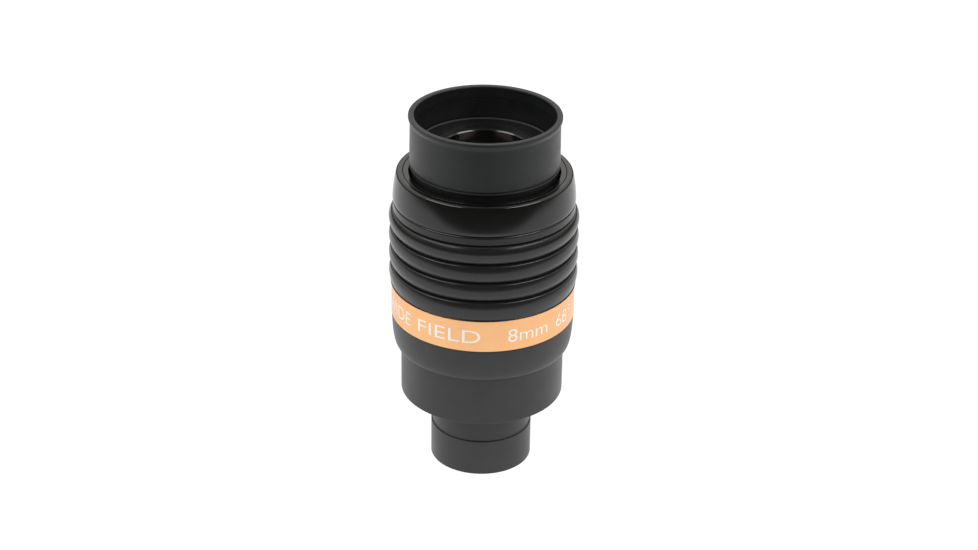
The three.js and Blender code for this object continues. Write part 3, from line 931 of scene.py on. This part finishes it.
def product(tree, first, second, scale, offset):
    """first x second x scale + offset"""
    times = tree.nodes.new("ShaderNodeMath")
    times.operation = "MULTIPLY"
    tree.links.new(first, times.inputs[0])
    tree.links.new(second, times.inputs[1])
    final = tree.nodes.new("ShaderNodeMath")
    final.operation = "MULTIPLY_ADD"
    tree.links.new(times.outputs[0], final.inputs[0])
    final.inputs[1].default_value = scale
    final.inputs[2].default_value = offset
    return final.outputs[0]


def floor():
    """A white table top round the object that glows by emission, though it is no lamp; its glow is painted
    down to a dim painted shade far away and in front.
    """
    reach = 6
    front_shade, front_bright = -0.31, -0.19
    bright_centre = (0, 0.14, 0)
    bright_radius, shade_radius = 0.44, 0.85
    brightness, shade = 0.97, 0.015
    corners = [(-reach, -reach, 0), (reach, -reach, 0), (reach, reach, 0), (-reach, reach, 0)]
    mesh = bpy.data.meshes.new("floor")
    mesh.from_pydata(corners, [], [(0, 1, 2, 3)])
    piece = bpy.data.objects.new("floor", mesh)
    bpy.context.scene.collection.objects.link(piece)
    look = Look("floor_paper_glow", (0.08, 0.08, 0.08), 0.9, specular=0.1)
    tree = look.tree
    split = look.node("ShaderNodeSeparateXYZ")
    look.link(look.position(), split.inputs[0])
    front = ramp(tree, split.outputs["Y"], front_shade, front_bright)
    away = look.node("ShaderNodeVectorMath")
    away.operation = "DISTANCE"
    away.inputs[1].default_value = bright_centre
    look.link(look.position(), away.inputs[0])
    near = ramp(tree, away.outputs["Value"], shade_radius, bright_radius)
    # painted light and shade: the floor's own glow, full near the object and painted down to a dim shade in
    # front and far away
    glow = product(tree, front, near, brightness, shade)
    look.link(glow, look.bsdf.inputs["Emission Strength"])
    look.bsdf.inputs["Emission Color"].default_value = (1, 1, 1, 1)
    mesh.materials.append(look.material)


def surroundings():
    """Light from above and behind, over a dim band at the height of the horizon."""
    dim_height, bright_height = 0.10, 0.36  # heights on a unit sphere
    dim_front, bright_back = -0.45, 0.2
    horizon_strength = 0.05
    world = bpy.data.worlds.new("studio")
    bpy.context.scene.world = world
    world.use_nodes = True
    tree = world.node_tree
    background = tree.nodes["Background"]
    direction = tree.nodes.new("ShaderNodeTexCoord")
    split = tree.nodes.new("ShaderNodeSeparateXYZ")
    tree.links.new(direction.outputs["Generated"], split.inputs[0])
    above = ramp(tree, split.outputs["Z"], dim_height, bright_height)
    behind = ramp(tree, split.outputs["Y"], dim_front, bright_back)
    strength = product(tree, above, behind, scale=1.0, offset=horizon_strength)
    tree.links.new(strength, background.inputs["Strength"])
    background.inputs["Color"].default_value = (1.0, 0.98, 0.94, 1)


def studio():
    floor()
    surroundings()
    soft_box("left_box", (-0.75, -0.45, 0.85), width=0.9, height=0.35, radiance=5)
    soft_box("right_box", (0.75, -0.45, 0.85), width=0.8, height=0.35, radiance=6)
    bpy.context.scene.view_settings.view_transform = "Standard"


# ---------------------------------------------------------------- the model
nose_barrel()
barrel_2in()
lower_housing()
upper_housing()
well_ring()
name_ring()
lettering()
grip_sleeve()
guide_tube()
face_ring()
eye_lens_retainer()
eyecup_rubber()
eyecup_sleeve()
nose_retainer()
field_stop()
tube("eye_spacer", bore_r=13.9)
tube("stack_spacer", bore_r=13.9)
tube("negative_spacer", bore_r=11.9)
tube("field_stop_tube", bore_r=15.9)
tube("friction_ring", 21.9, "nitrile", NITRILE, "cup_slider")
o_ring("housing_o_ring")
o_ring("eye_lens_seal")
lens("eye_lens_crown", EYE_GLASS, "coated_glass")
lens("flattener_lens", EYE_GLASS, "coated_glass")
for name in ("eye_lens_flint", "middle_lens", "inner_lens_crown", "inner_lens_flint",
             "negative_lens_crown", "negative_lens_flint"):
    lens(name, LENS_GLASS, "lens_glass")

SLOT_LOOKS = {
    "satin_black": SATIN, "gloss_black": GLOSS, "matte_black": MATTE, "copper": COPPER,
    "grip_rubber": GRIP_RUBBER, "cup_rubber": CUP_RUBBER, "nitrile": NITRILE,
    "screw_steel": OXIDE, "coated_glass": EYE_GLASS, "lens_glass": LENS_GLASS,
}
# CAD solids that are shown as they are, such as the screws, take the look of their slot.
for entry in frame["record"]["subparts"]:
    node = frame["nodes"][entry["node"]]
    node.data.materials.clear()
    node.data.materials.append(SLOT_LOOKS[entry["material_slot"]])

camera()
studio()
